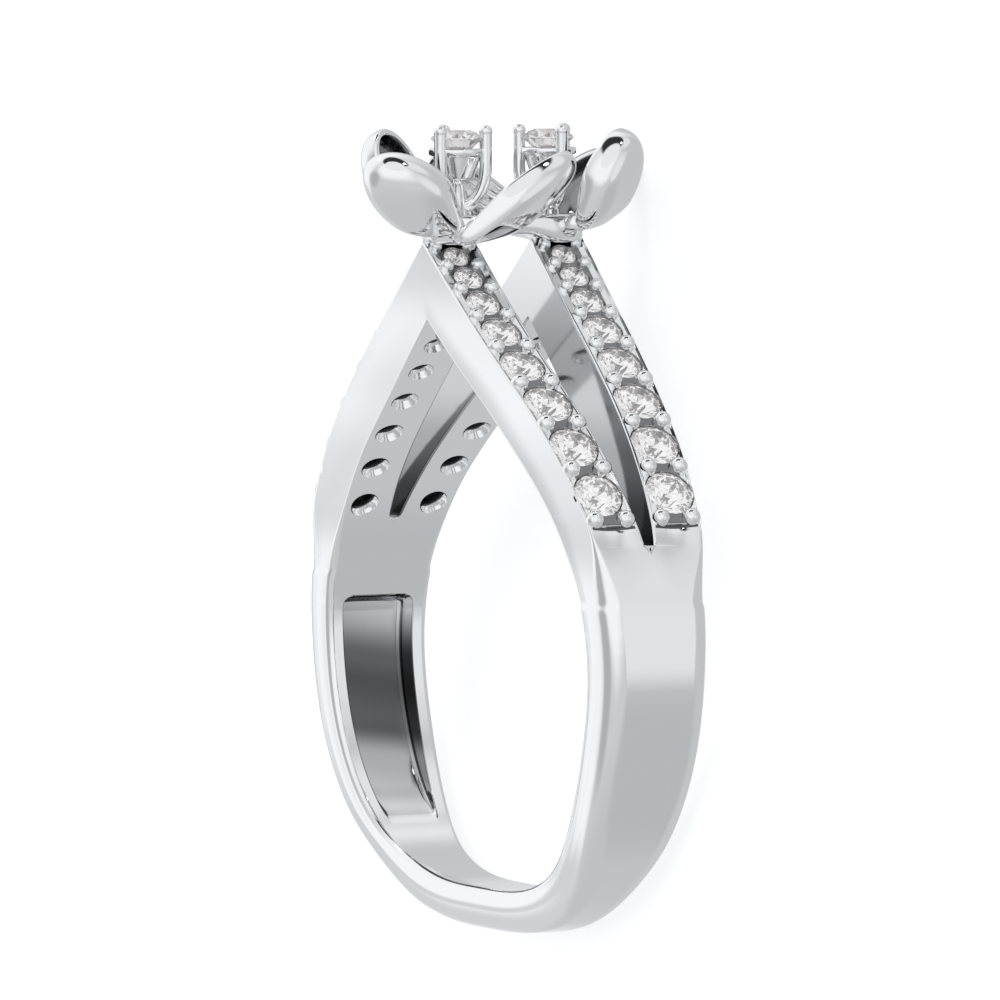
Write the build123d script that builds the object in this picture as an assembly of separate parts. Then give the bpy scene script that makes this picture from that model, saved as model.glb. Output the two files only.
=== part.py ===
from build123d import *
import math
import os

# A silver ring: a squared shank whose shoulders split into two strands of pave stones,
# which rise to a pointed arch and carry two claw-set brilliants among four cupped petals and two leaves.
# The ring is worked out upright in its own frame and then laid on its side, as it rests on a table:
# x runs across the finger hole, y from the shank's bottom to the head, z along the finger, front up.
# All lengths are millimetres.

# Points and arcs in which the curves are drawn
OUTLINE_STEPS = 12
OUTLINE_ARCS = 9
WIDTH_ARCS = 5
SLOT_ARCS = 3
POCKET_STEPS = 6
POCKET_ARCS = 4

# Finger hole
HOLE_WIDTH = 17.45
HOLE_TOP = 8.85
HOLE_BOTTOM = 8.9

# Metal between the hole and the outside
SHOULDER_WALL = 1.7
SIDE_WALL = 1.6
BOTTOM_WALL = 1.35

# Width of the band along the finger, as half widths
HALF_WIDTH_BOTTOM = 1.15
HALF_WIDTH_SIDE = 1.91
HALF_WIDTH_WAIST = 1.86
HALF_WIDTH_TOP = 2.87
WAIST_HEIGHT = 0.45

# Slot that splits each shoulder
SLOT_FOOT = 2.2
SLOT_HALF_GAP_FOOT = 0.16
SLOT_HALF_GAP_TOP = 0.95

# Pocket inside each side of the shank
POCKET_DEPTH = 0.75
POCKET_RIM = 0.68
POCKET_TOP = -0.35
POCKET_FOOT = -7.3

# Pave strands
SHELF_HEIGHT = 2.8
PAVE_RISE = 0.22
PAVE_SMALLEST = 0.8
PAVE_LARGEST = 1.55
PAVE_SINK = 0.1
PAVE_TOP_MARGIN = 0.2
PAVE_FOOT_MARGIN = 0.35
AZURE_SHARE = 0.5
BEAD_LARGEST = 0.29
BEAD_SMALLEST = 0.2
BEAD_OFFSET = 0.53

# Claw settings
CLAW_STONE = 1.62
SETTING_OFFSET = 1.6
GIRDLE_RISE = 2.4
CLAW_RADIUS = 0.2
CLAW_COUNT = 3
CLAW_FIRST_ANGLE = 60
CLAW_RISE = 0.22
CLAW_BEND_DROP = 0.85
CLAW_FOOT_DROP = 2.15
CUP_HEIGHT = 1.0
RAIL_DROP = 0.25
RAIL_HEIGHT = 0.2
RAIL_LIP = 0.07
CUP_FOOT_RADIUS = 0.46
STEM_RADIUS = 0.36

# Bridge under the head, sunk into the point of the paved arch
BRIDGE_BITE = 0.2
BRIDGE_THICKNESS = 0.98
BRIDGE_HALF_LENGTH = 2.75
BRIDGE_HALF_WIDTH = 1.15

# Petals and leaves
PETAL_WALL = 0.3
LEAF_WALL = 0.3
ROOT_RADIUS = 0.4

# Fit of a stone in its seat
STONE_GAP = 0.03

# Proportions of a round brilliant, as shares of its diameter
TABLE_SHARE = 0.56
CROWN_SHARE = 0.15
GIRDLE_SHARE = 0.03
PAVILION_SHARE = 0.43
STAR_SHARE = 0.78
LOWER_HALF_SHARE = 0.24
MAINS = 8

# The right half of the finger hole, from the arch's point down to the bottom.
# Columns: share of half the hole's width, share of the hole's top (above) or bottom (below).
HOLE_OUTLINE = [
    (0.377, 0.711),
    (0.791, 0.358),
    (0.998, 0.0),
    (0.94, -0.522),
    (0.711, -0.839),
    (0.367, -0.98),
]

# Thickness of the wall round the hole.
# Columns: share of the way from the arch's point to the bottom, wall.
WALL_TABLE = [
    (0.0, SHOULDER_WALL),
    (0.42, SHOULDER_WALL),
    (0.55, SIDE_WALL),
    (0.78, (SIDE_WALL + 2 * BOTTOM_WALL) / 3),
    (0.88, BOTTOM_WALL),
    (1.0, BOTTOM_WALL),
]

# Half width of the band up the ring.
# Columns: share of the hole's bottom (below) or top (above), half width.
WIDTH_TABLE_BELOW = [
    (-1.3, HALF_WIDTH_BOTTOM),
    (-0.99, HALF_WIDTH_BOTTOM),
    (-0.93, HALF_WIDTH_BOTTOM + 0.13 * (HALF_WIDTH_SIDE - HALF_WIDTH_BOTTOM)),
    (-0.84, HALF_WIDTH_BOTTOM + 0.4 * (HALF_WIDTH_SIDE - HALF_WIDTH_BOTTOM)),
    (-0.7, HALF_WIDTH_BOTTOM + 0.66 * (HALF_WIDTH_SIDE - HALF_WIDTH_BOTTOM)),
    (-0.45, HALF_WIDTH_BOTTOM + 0.84 * (HALF_WIDTH_SIDE - HALF_WIDTH_BOTTOM)),
    (-0.2, HALF_WIDTH_BOTTOM + 0.88 * (HALF_WIDTH_SIDE - HALF_WIDTH_BOTTOM)),
]
WIDTH_TABLE_ABOVE = [
    (0.36, HALF_WIDTH_WAIST + 0.15 * (HALF_WIDTH_TOP - HALF_WIDTH_WAIST)),
    (0.53, HALF_WIDTH_WAIST + 0.34 * (HALF_WIDTH_TOP - HALF_WIDTH_WAIST)),
    (0.71, HALF_WIDTH_WAIST + 0.53 * (HALF_WIDTH_TOP - HALF_WIDTH_WAIST)),
    (0.88, HALF_WIDTH_WAIST + 0.74 * (HALF_WIDTH_TOP - HALF_WIDTH_WAIST)),
    (1.06, HALF_WIDTH_WAIST + 0.88 * (HALF_WIDTH_TOP - HALF_WIDTH_WAIST)),
    (1.3, HALF_WIDTH_TOP),
    (1.6, HALF_WIDTH_TOP),
]

# Half the gap between the two strands of a shoulder.
# Columns: share of the hole's top, share of the gap at the top.
SLOT_TABLE = [
    (0.34, 0.26),
    (0.55, 0.5),
    (0.88, 0.84),
    (1.25, 1.0),
    (1.6, 1.0),
]

# The stones of one strand, from the head down to the shelf.
# Columns: share of the way from the smallest to the largest stone, weight of the gap above it.
PAVE_TABLE = [
    (0.0, 0.35),
    (0.2, 0.4),
    (0.4, 0.5),
    (0.65, 0.6),
    (0.85, 0.75),
    (1.0, 1.0),
    (1.0, 1.1),
    (1.0, 1.1),
]
LAST_GAP_WEIGHT = 1.1

# Petals: an egg-shaped bowl each. Each row also makes its twin, turned half round the head's axis.
# Columns: centre (x, y above the bridge's top, z), direction of the long axis, long half axis,
# short half axis, direction in which the bowl opens, how far past the middle it is cut.
PETALS = [
    ((1.0, 0.7, 3.62), (0.0, 0.568, 0.823), 1.97, 1.2, (-0.8, 0.55, -0.25), 0.1),
    ((1.45, 1.1, -2.75), (0.0, 0.867, -0.498), 1.77, 1.15, (-0.8, 0.5, 0.3), 0.1),
]
LEAVES = [
    ((1.25, 0.57, 0.2), (0.0, 0.55, -0.835), 2.4, 0.85, (-0.75, 0.6, 0.25), 0.0),
]


def hole_edge():
    """Right half of the finger hole, from the point of the arch to the bottom."""
    half = HOLE_WIDTH / 2
    points = [(0, HOLE_TOP)]
    points += [
        (x * half, y * (HOLE_TOP if y > 0 else HOLE_BOTTOM)) for x, y in HOLE_OUTLINE
    ]
    points.append((0, -HOLE_BOTTOM))
    return Spline(*points, tangents=[(half, -0.8 * HOLE_TOP), (-1, 0)])


def outer_points(rise):
    """Points of the outside, the wall and a rise away from the hole, from the arch's point down."""
    inner = hole_edge()
    points = []
    for i in range(OUTLINE_STEPS + 1):
        share = i / OUTLINE_STEPS
        at, along = inner @ share, inner % share
        wall = between(WALL_TABLE, share) + rise
        if i == 0:
            points.append((0, at.Y + wall / along.X))
        elif i == OUTLINE_STEPS:
            points.append((0, at.Y - wall))
        else:
            points.append((at.X - along.Y * wall, at.Y + along.X * wall))
    return points


def outer_edge(rise):
    """Right half of the outside, from the point of the arch to the bottom."""
    points = outer_points(rise)
    first = hole_edge() % 0
    return Spline(*points, tangents=[(first.X, first.Y), (-1, 0)])


def arcs_along(edge, count):
    """A curve redrawn as a row of circular arcs that run through points of it."""
    stops = [edge @ (i / (2 * count)) for i in range(2 * count + 1)]
    return [ThreePointArc(*stops[2 * i : 2 * i + 3]) for i in range(count)]


def through(profile, reach):
    """A profile drawn in the middle plane, extruded to both sides of it."""
    back = profile.face().normal_at() * -reach
    return extrude(Pos(*back) * profile, 2 * reach)


def half_ring_face(rise):
    """The ring's right half seen along the finger, from the hole to the outside."""
    outer, inner = outer_edge(rise), hole_edge()
    outline = arcs_along(outer, OUTLINE_ARCS) + arcs_along(inner, OUTLINE_ARCS)
    return make_face(outline + [Line(outer @ 1, inner @ 1), Line(inner @ 0, outer @ 0)])


def between(table, place):
    """Value at a place in a table of (place, value) rows, in a straight line from row to row."""
    for (a, value_a), (b, value_b) in zip(table, table[1:]):
        if place <= b:
            return value_a + (value_b - value_a) * (place - a) / (b - a)
    return table[-1][1]


def width_rows(inset):
    """Upper edge of the band seen from the side, as points (y, half width), below and above the waist."""
    below = [(y * HOLE_BOTTOM, w - inset) for y, w in WIDTH_TABLE_BELOW]
    below.append((WAIST_HEIGHT, HALF_WIDTH_SIDE - inset))
    above = [(y * HOLE_TOP, w - inset) for y, w in WIDTH_TABLE_ABOVE]
    above.insert(0, (WAIST_HEIGHT, HALF_WIDTH_WAIST - inset))
    return below, above


def slot_rows():
    """Edge of the slot above its foot, as points (y, half gap)."""
    rows = [(SLOT_FOOT + SLOT_HALF_GAP_FOOT, SLOT_HALF_GAP_FOOT)]
    return rows + [(y * HOLE_TOP, gap * SLOT_HALF_GAP_TOP) for y, gap in SLOT_TABLE]


def width_solid(inset):
    """Everything between the band's front and back faces, less an inset, with the step at the waist."""
    below, above = width_rows(inset)
    half = arcs_along(Spline(*below), WIDTH_ARCS) + [Line(below[-1], above[0])]
    half += arcs_along(Spline(*above), WIDTH_ARCS)
    profile = make_face(half + [mirror(edge, about=Plane.XZ) for edge in half] + end_lines(below, above))
    return through(turned_to_side(profile), 2 * HOLE_WIDTH)


def end_lines(first, last):
    """The lines that close a profile whose halves start at one row and end at another."""
    return [Line((y, z), (y, -z)) for y, z in (first[0], last[-1])]


def turned_to_side(profile):
    """A profile drawn as (y, z) on the flat plane, stood up so that it looks along x."""
    return Plane((0, 0, 0), x_dir=(0, 1, 0), z_dir=(1, 0, 0)) * profile


def slot_solid():
    """The gap between the front and the back strand, right through both shoulders."""
    rows = slot_rows()
    half = arcs_along(Spline(*rows), SLOT_ARCS)
    profile = make_face(half + [mirror(edge, about=Plane.XZ) for edge in half] + end_lines(rows, rows))
    profile += Pos(rows[0][0], 0) * Circle(SLOT_HALF_GAP_FOOT)
    return through(turned_to_side(profile), 2 * HOLE_WIDTH)


def pocket_solid():
    """The hollow inside the right side of the shank, deepest at its top and running out at its foot."""
    inner = hole_edge()
    start = share_at_height(inner, POCKET_TOP)
    foot = share_at_height(inner, POCKET_FOOT)
    deep, shallow = [], []
    for i in range(POCKET_STEPS + 1):
        share = start + (foot - start) * i / POCKET_STEPS
        at, along = inner @ share, inner % share
        depth = POCKET_DEPTH * math.cos(math.pi / 2 * (i / POCKET_STEPS) ** 2)
        deep.append((at.X - along.Y * depth, at.Y + along.X * depth))
        shallow.append((at.X + along.Y * POCKET_DEPTH, at.Y - along.X * POCKET_DEPTH))
    outline = arcs_along(Spline(*deep), POCKET_ARCS) + [
        Line(deep[-1], shallow[-1]),
        Polyline(*reversed(shallow)),
        Line(shallow[0], deep[0]),
    ]
    return through(make_face(outline), HALF_WIDTH_TOP) & width_solid(POCKET_RIM)


def share_at_height(edge, height):
    """Share of the way along a half outline at which it passes a height."""
    low, high = 0.0, 1.0
    for _ in range(40):
        middle = (low + high) / 2
        if (edge @ middle).Y > height:
            low = middle
        else:
            high = middle
    return low


def half_band():
    """Right half of shank and shoulders, with the raised pave beds, the slot and the pocket."""
    reach = 2 * HOLE_WIDTH
    outside = outer_edge(0)
    share = share_at_height(outside, SHELF_HEIGHT)
    at, along = outside @ share, outside % share
    shelf = Plane((at.X, at.Y, 0), x_dir=(-along.Y, along.X, 0), z_dir=(-along.X, -along.Y, 0))
    above = extrude(shelf * Rectangle(reach, reach), reach)
    shank = through(half_ring_face(0), HOLE_WIDTH)
    beds = through(half_ring_face(PAVE_RISE), HOLE_WIDTH) & above
    return ((shank + beds) & width_solid(0)) - slot_solid() - pocket_solid()


def strand_middle(height):
    """Half the distance between the front and the back strand's middle lines at a height."""
    _, above = width_rows(0)
    return (between(above, height) + between(slot_rows(), height)) / 2


def pave_places():
    """Stones and bead rows of the near strand: (kind, size, point, outward, along), in the ring's plane."""
    edge = outer_edge(PAVE_RISE)
    length = edge.length
    foot = share_at_height(edge, SHELF_HEIGHT) * length - PAVE_FOOT_MARGIN
    sizes = [PAVE_SMALLEST + (PAVE_LARGEST - PAVE_SMALLEST) * share for share, _ in PAVE_TABLE]
    spare = foot - PAVE_TOP_MARGIN - sum(sizes)
    unit = spare / (sum(weight for _, weight in PAVE_TABLE) + LAST_GAP_WEIGHT / 2)
    places = []
    reached = PAVE_TOP_MARGIN
    for size, (share, weight) in zip(sizes, PAVE_TABLE):
        gap = unit * weight
        places.append(("bead", bead_radius(share), reached + gap / 2))
        reached += gap
        places.append(("stone", size, reached + size / 2))
        reached += size
    places.append(("bead", BEAD_LARGEST, foot))
    placed = []
    for kind, size, run in places:
        at, along = edge @ (run / length), edge % (run / length)
        placed.append((kind, size, at, Vector(-along.Y, along.X, 0), along))
    return placed


def bead_radius(share):
    """Radius of the beads above a stone, from its share between the smallest and the largest."""
    return BEAD_SMALLEST + (BEAD_LARGEST - BEAD_SMALLEST) * share


def brilliant(diameter):
    """A round brilliant with its table up, its girdle's upper edge at z 0 and its middle at the origin."""
    radius = diameter / 2
    crown, girdle = CROWN_SHARE * diameter, GIRDLE_SHARE * diameter
    pavilion = PAVILION_SHARE * diameter
    table = TABLE_SHARE * radius
    star = STAR_SHARE * radius
    lower = LOWER_HALF_SHARE * radius
    turn = math.pi / MAINS

    def ring(r, z, half_turn):
        angles = [(2 * k + half_turn) * turn for k in range(MAINS)]
        return [Vector(r * math.cos(a), r * math.sin(a), z) for a in angles]

    star_height = crown * (radius - star * math.cos(turn)) / (radius - table)
    lower_height = -girdle - pavilion * (1 - lower * math.cos(turn) / radius)
    tops = ring(table, crown, 0)
    stars = ring(star, star_height, 1)
    high, high_between = ring(radius, 0, 0), ring(radius, 0, 1)
    low, low_between = ring(radius, -girdle, 0), ring(radius, -girdle, 1)
    lowers = ring(lower, lower_height, 1)
    culet = Vector(0, 0, -girdle - pavilion)
    facets = [tops]
    for k in range(MAINS):
        n, p = (k + 1) % MAINS, (k - 1) % MAINS
        facets += [
            [tops[k], stars[k], tops[n]],
            [tops[k], stars[p], high[k], stars[k]],
            [high[k], high_between[k], stars[k]],
            [high_between[k], high[n], stars[k]],
            [high[k], low[k], low_between[k], high_between[k]],
            [high_between[k], low_between[k], low[n], high[n]],
            [low[k], lowers[k], low_between[k]],
            [low_between[k], lowers[k], low[n]],
            [culet, lowers[k], low[k], lowers[p]],
        ]
    faces = [Face(Wire.make_polygon(points, close=True)) for points in facets]
    return Solid(Shell(faces))


def stone_seat(diameter, azure_radius, azure_depth):
    """What is cut from the metal for a stone: its own form and a gap, room above, and a hole below."""
    radius = diameter / 2 + STONE_GAP
    drop = (GIRDLE_SHARE + PAVILION_SHARE) * diameter
    slope = PAVILION_SHARE * 2
    azure_start = -GIRDLE_SHARE * diameter - (radius - azure_radius) * slope - STONE_GAP
    profile = make_face(
        Polyline(
            (0, diameter),
            (radius, diameter),
            (radius, -GIRDLE_SHARE * diameter - STONE_GAP),
            (azure_radius, azure_start),
            (azure_radius, -drop - azure_depth),
            (0, -drop - azure_depth),
            close=True,
        )
    )
    return revolve(Plane.XZ * profile, Axis.Z)


def outward_plane(at, outward, along, offset, sink):
    """A plane on the strand's surface whose z points outward, moved along the finger and sunk."""
    origin = Vector(at.X, at.Y, offset) - outward * sink
    return Plane(origin, x_dir=along, z_dir=outward)


def pave():
    """Seats and beads of the near side, and the stones of all four strands with their names."""
    seats, beads, stones = [], [], []
    number = 0
    for kind, size, at, outward, along in pave_places():
        number += kind == "stone"
        for side, z in (("front", strand_middle(at.Y)), ("back", -strand_middle(at.Y))):
            if kind == "stone":
                plane = outward_plane(at, outward, along, z, PAVE_SINK)
                seats.append(plane * stone_seat(size, AZURE_SHARE * size / 2, 2 * SHOULDER_WALL))
                stone = plane * brilliant(size)
                stones.append((f"pave_stone_{side}_near_{number}", stone))
                stones.append((f"pave_stone_{side}_far_{number}", mirror(stone, about=Plane.YZ)))
            else:
                for across in (-1, 1):
                    reach = z + across * BEAD_OFFSET
                    beads.append(outward_plane(at, outward, along, reach, 0) * Sphere(size))
    return seats, beads, stones


def bridge_underside():
    """Height of the bridge's underside, a bite below the point of the paved arch."""
    return outer_points(PAVE_RISE)[0][1] - BRIDGE_BITE


def bridge_top():
    return bridge_underside() + BRIDGE_THICKNESS


def girdle_height():
    """Height of the claw stones' girdles."""
    return bridge_top() + GIRDLE_RISE


def turned_half(shape):
    """The shape turned half round the head's axis."""
    return shape.rotate(Axis.Y, 180)


def bowl(centre, axis, long_half, short_half, opening, cut, wall):
    """An egg-shaped bowl: an egg less a smaller egg and less what lies past the cut."""
    along = Vector(*axis).normalized()
    across = along.cross(Vector(*opening)).normalized()
    toward = across.cross(along)
    at = Vector(*centre) + Vector(0, bridge_top(), 0)
    frame = Plane(at, x_dir=across, z_dir=along)
    shell = frame * egg(long_half, short_half) - frame * egg(long_half - wall, short_half - wall)
    reach = 4 * long_half
    rim = Plane(at + toward * cut, z_dir=toward)
    return shell - extrude(rim * Rectangle(reach, reach), reach)


def egg(long_half, short_half):
    """An ellipsoid of revolution whose long axis is z."""
    arc = EllipticalCenterArc((0, 0), short_half, long_half, start_angle=-90, arc_size=180)
    profile = make_face(Curve() + [arc, Line(arc @ 1, arc @ 0)])
    return revolve(Plane.XZ * profile, Axis.Z)


def root(centre, axis, long_half):
    """A short round bar from the lower end of a petal or a leaf to the middle of the bridge."""
    low = Vector(*centre) + Vector(0, bridge_top(), 0) - Vector(*axis) * (long_half - PETAL_WALL)
    end = Vector(0, bridge_top() - BRIDGE_THICKNESS / 2, low.Z)
    start = Vector(low.X, end.Y, low.Z)
    plane = Plane((start + end) / 2, z_dir=end - start)
    bar = Location(plane) * Cylinder(ROOT_RADIUS, (end - start).length)
    return bar + Pos(*start) * Sphere(ROOT_RADIUS)


def cup():
    """Cup of a claw setting, widest at its rail, round the z axis at its real height."""
    rail_radius = CLAW_STONE / 2 + RAIL_LIP
    rail_top = girdle_height() - GIRDLE_SHARE * CLAW_STONE - STONE_GAP - RAIL_DROP
    profile = Polyline(
        (0, rail_top - CUP_HEIGHT),
        (CUP_FOOT_RADIUS, rail_top - CUP_HEIGHT),
        (rail_radius - RAIL_LIP, rail_top - RAIL_HEIGHT - RAIL_LIP),
        (rail_radius, rail_top - RAIL_HEIGHT),
        (rail_radius, rail_top),
        (0, rail_top),
        close=True,
    )
    return revolve(Plane.XZ * make_face(profile), Axis.Z)


def claw():
    """One claw, upright beside the stone and curved in to the stem below, on the x side of the z axis."""
    reach = CLAW_STONE / 2 + CLAW_RADIUS / 2
    girdle = girdle_height()
    top = (reach, 0, girdle + CLAW_RISE)
    bend = (reach, 0, girdle - CLAW_BEND_DROP)
    foot = (STEM_RADIUS / 3, 0, girdle - CLAW_FOOT_DROP)
    path = Line(top, bend) + TangentArc(bend, foot, tangent=(0, 0, -1))
    return sweep(Plane(top, z_dir=(0, 0, -1)) * Circle(CLAW_RADIUS), path=path) + Pos(*top) * Sphere(CLAW_RADIUS)


def front_setting():
    """Cup, stem and claws of the front stone."""
    stem_foot, stem_top = bridge_top() - BRIDGE_THICKNESS / 2, girdle_height() - CUP_HEIGHT
    stem = Cylinder(STEM_RADIUS, stem_top - stem_foot)
    pieces = [cup(), Pos(0, 0, (stem_foot + stem_top) / 2) * stem]
    for k in range(CLAW_COUNT):
        pieces.append(claw().rotate(Axis.Z, CLAW_FIRST_ANGLE + 360 / CLAW_COUNT * k))
    upright = Pos(0, 0, SETTING_OFFSET) * Location((0, 0, 0), (1, 0, 0), -90)
    return [upright * piece for piece in pieces]


def bridge():
    """The plate that joins the four strand ends under the head."""
    plane = Plane((0, bridge_underside(), 0), x_dir=(0, 0, 1), z_dir=(0, 1, 0))
    return extrude(plane * SlotOverall(2 * BRIDGE_HALF_LENGTH, 2 * BRIDGE_HALF_WIDTH), BRIDGE_THICKNESS)


def claw_stone_plane():
    """Where the front claw stone sits, its table up."""
    return Plane((0, girdle_height(), SETTING_OFFSET), x_dir=(1, 0, 0), z_dir=(0, 1, 0))


def head_pieces():
    """All the metal above the strands: each piece but the bridge has a twin turned half round."""
    pieces = front_setting()
    for row, wall in [(r, PETAL_WALL) for r in PETALS] + [(r, LEAF_WALL) for r in LEAVES]:
        pieces += [bowl(*row, wall), root(*row[:3])]
    return [bridge()] + pieces + [turned_half(piece) for piece in pieces]


def lowest(turn):
    """Lowest heights of the head's rearmost petal and of the shank's back rim, laid down by a turn."""
    down = Vector(0, -math.sin(turn), -math.cos(turn))
    centre, axis, long_half, short_half = PETALS[0][:4]
    axis = Vector(*axis).normalized()
    middle = Vector(-centre[0], centre[1] + bridge_top(), -centre[2])
    along = Vector(-axis.X, axis.Y, -axis.Z).dot(down)
    reach = math.sqrt((long_half * along) ** 2 + short_half**2 * (1 - along**2))
    petal = -(middle.dot(down) + reach)
    below, _ = width_rows(0)
    rim = min(y * math.sin(turn) - width * math.cos(turn) for y, width in below)
    return petal, rim


def lying_turn():
    """Turn at which the ring lies on its back rim and its rearmost petal at once."""
    low, high = 0.0, math.pi / 4
    for _ in range(40):
        middle = (low + high) / 2
        petal, rim = lowest(middle)
        if petal < rim:
            low = middle
        else:
            high = middle
    return low


def metal_solid(seats, beads):
    """All the soldered metal, upright."""
    half = half_band() - seats + beads
    metal = half + mirror(half, about=Plane.YZ)
    for piece in head_pieces():
        metal = metal + piece
    room = claw_stone_plane() * stone_seat(CLAW_STONE, CLAW_STONE / 8, CLAW_STONE / 8)
    return metal - [room, turned_half(room)]


def main():
    seats, beads, stones = pave()
    stones.append(("claw_stone_front", claw_stone_plane() * brilliant(CLAW_STONE)))
    stones.append(("claw_stone_back", turned_half(stones[-1][1])))
    metal = metal_solid(seats, beads)
    turn = lying_turn()
    metal = metal.rotate(Axis.X, math.degrees(turn))
    box = metal.bounding_box()
    settle = Pos(-box.center().X, -box.center().Y, -box.min.Z)
    os.makedirs("parts", exist_ok=True)
    export_step(settle * metal, "parts/ring_metal.step")
    for name, stone in stones:
        export_step(settle * stone.rotate(Axis.X, math.degrees(turn)), f"parts/{name}.step")
    print("solids in the metal:", len(metal.solids()), "volume", round(metal.volume, 2))
    print("turn", round(math.degrees(turn), 3), "lowest", lowest(turn), "box", box)


main()
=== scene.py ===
import math

import bmesh
import bpy
import numpy as np
from mathutils import Matrix, Vector
from mathutils.bvhtree import BVHTree
from mathutils.interpolate import poly_3d_calc


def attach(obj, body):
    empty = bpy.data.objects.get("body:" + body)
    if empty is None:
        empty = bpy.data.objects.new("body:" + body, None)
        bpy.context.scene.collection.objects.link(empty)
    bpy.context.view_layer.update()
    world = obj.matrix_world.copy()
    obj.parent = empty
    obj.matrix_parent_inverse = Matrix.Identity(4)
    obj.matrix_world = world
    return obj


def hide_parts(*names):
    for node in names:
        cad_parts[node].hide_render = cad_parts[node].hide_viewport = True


# The ring is worked out standing up, in millimetres: x across the finger hole, y up to the head,
# z along the finger with the front up. It is then laid down on its back, as the CAD part lies.
MM = 0.001
LYING_TURN = 0.1680348
LYING_SHIFT = (0.0, -2.44171, 3.06883)
TURN = Matrix.Rotation(LYING_TURN, 4, "X")
LAID = Matrix.Scale(MM, 4) @ Matrix.Translation(LYING_SHIFT) @ TURN

# The finger hole from its top down one side. Columns: shares of its half width and of its height.
HOLE_HALF = 8.719
HOLE_TOP = 8.85
HOLE_BOTTOM = 8.9
HOLE_OUTLINE = [
    (0.377, 0.711),
    (0.791, 0.358),
    (0.998, 0.0),
    (0.94, -0.522),
    (0.711, -0.839),
    (0.367, -0.98),
]
HOLE_START = (HOLE_HALF, -0.8 * HOLE_TOP)
LEVEL = (-1, 0)
SPAN_STEPS = 50
NEARBY = 0.003

# The wall round the hole. Columns: share of the way from top to bottom, thickness.
WALLS = [(0.0, 1.7), (0.42, 1.7), (0.55, 1.6), (0.78, 1.433), (0.88, 1.35), (1.0, 1.35)]
WALL_STEPS = 12

# Half the band's width below and above the waist. Columns: height, half width.
WAIST = 0.45
WAIST_BLEND = 0.13
HALF_WIDTH_BELOW = [
    (-11.57, 1.15),
    (-8.811, 1.15),
    (-8.277, 1.249),
    (-7.476, 1.454),
    (-6.23, 1.652),
    (-4.005, 1.788),
    (-1.78, 1.819),
    (WAIST, 1.91),
]
HALF_WIDTH_ABOVE = [
    (WAIST, 1.86),
    (3.186, 2.012),
    (4.691, 2.203),
    (6.284, 2.395),
    (7.788, 2.607),
    (9.381, 2.749),
    (11.505, 2.87),
    (14.16, 2.87),
]

# The slot between the front and the back strand. Columns: height, half the gap.
SLOT_FOOT = 2.2
SLOT_FOOT_RADIUS = 0.16
SLOT_HALF_GAP = [(2.36, 0.16), (3.009, 0.247), (4.868, 0.475), (7.788, 0.798), (11.063, 0.95), (14.16, 0.95)]

# The paved bed ends at the shelf, with flutes and a small scoop below it and a rim to each side.
SHELF = 2.8
PAVE_RISE = 0.22
FLUTE_LENGTH = 2.4
FLUTE_DIP = 0.1
SCOOP_LENGTH = 0.28
SCOOP_DEPTH = 0.05
RIM_DROP = 0.05
RIM_END = (0.22, 0.42)
RIM_START = 0.1
RIM_SLOPE = 0.05
LEAST_STRAND = 0.1

# The pocket in the hole's wall.
POCKET_DEPTH = 0.75
POCKET_RIM = 0.64
POCKET_TOP = -0.35
POCKET_FOOT = -7.3
POCKET_CORNER = 0.32
POCKET_FLOOR_ROWS = (0, 0.3, 0.6, 0.85)
# How deep the pocket is beside its upper edge and its walls. Columns: distance past the edge, share.
POCKET_EDGE = [
    (-0.06, 0.0),
    (-0.015, 0.05),
    (0.015, 0.55),
    (0.04, 0.72),
    (0.08, 0.84),
    (0.14, 0.93),
    (0.22, 0.98),
    (0.36, 1.0),
]

# Roundings of the band's edges, and how far its front is crowned.
OUTER_EDGE_SHANK = 0.64
OUTER_EDGE_STRAND = 0.09
INNER_EDGE_SHANK = 0.3
INNER_EDGE_STRAND = 0.1
SLOT_EDGE = 0.07
SLOT_EDGE_SHARE = 0.45
FRONT_CROWN = 0.06

# The band's grid: stations along the hole, closer together beside each feature, and rows across.
STATIONS = 110
STATION_GAP = 0.055
SHELF_STATIONS = (0.3, 0.14, 0.05, 0.012, -0.012, -0.05, -0.1, -0.17, -0.26, -0.36)
SLOT_STATIONS = (-0.05, 0.0, 0.012, 0.04, 0.09, 0.16, 0.26)
WAIST_STATIONS = (-1.3, -0.8, -0.4, 0.0, 0.4, 0.8, 1.3)
EVEN_ROWS_RUN = 1.2
EDGE_STEPS = 5
FRONT_ROWS = 4
BED_MARGINS = (0.03, 0.07)
BED_ROWS = 8
SLOT_EDGE_STEPS = 3
SLOT_ROWS = 4
ON_PLANE = 1e-4
ON_MIDDLE = 1e-3
SLIVER = 1e-4
MERGED = 2e-4
MIRROR_MERGED = 1e-3

# Parts of the band with a silver of their own, in the order of its material slots.
# All but the plain metal and the flare are painted shade or painted reflections, in darker or graded greys.
BAND_PARTS = ["plain", "seat", "pocket", "azure", "bed", "flare", "slot", "side", "shade_line"]
# The columns of a section, as section() lists its points, that belong to such a part: first and last.
POCKET_COLUMNS = (0, 11)
SIDE_COLUMNS = (18, 22)
SHADE_LINE_COLUMNS = (29, 37)
BED_COLUMNS = (30, 36)
SLOT_COLUMNS = (42, 49)
POCKET_STARTS = 0.02
# Heights past the shelf between which a thin dark line of painted shade runs along the step.
SHADE_LINE_TOP = -0.008
SHADE_LINE_FOOT = -0.11

# The pave stones of one strand from the head down. Columns: share from smallest to largest, weight of
# the gap above it.
PAVE = [(0.0, 0.35), (0.2, 0.4), (0.4, 0.5), (0.65, 0.6), (0.85, 0.75), (1.0, 1.0), (1.0, 1.1), (1.0, 1.1)]
PAVE_LAST_GAP = 1.1
PAVE_SIZES = (0.8, 1.55)
PAVE_SINK = 0.1
PAVE_TOP_MARGIN = 0.2
PAVE_FOOT_MARGIN = 0.35
GIRDLE_SHARE = 0.03
PAVILION_SHARE = 0.43

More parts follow.
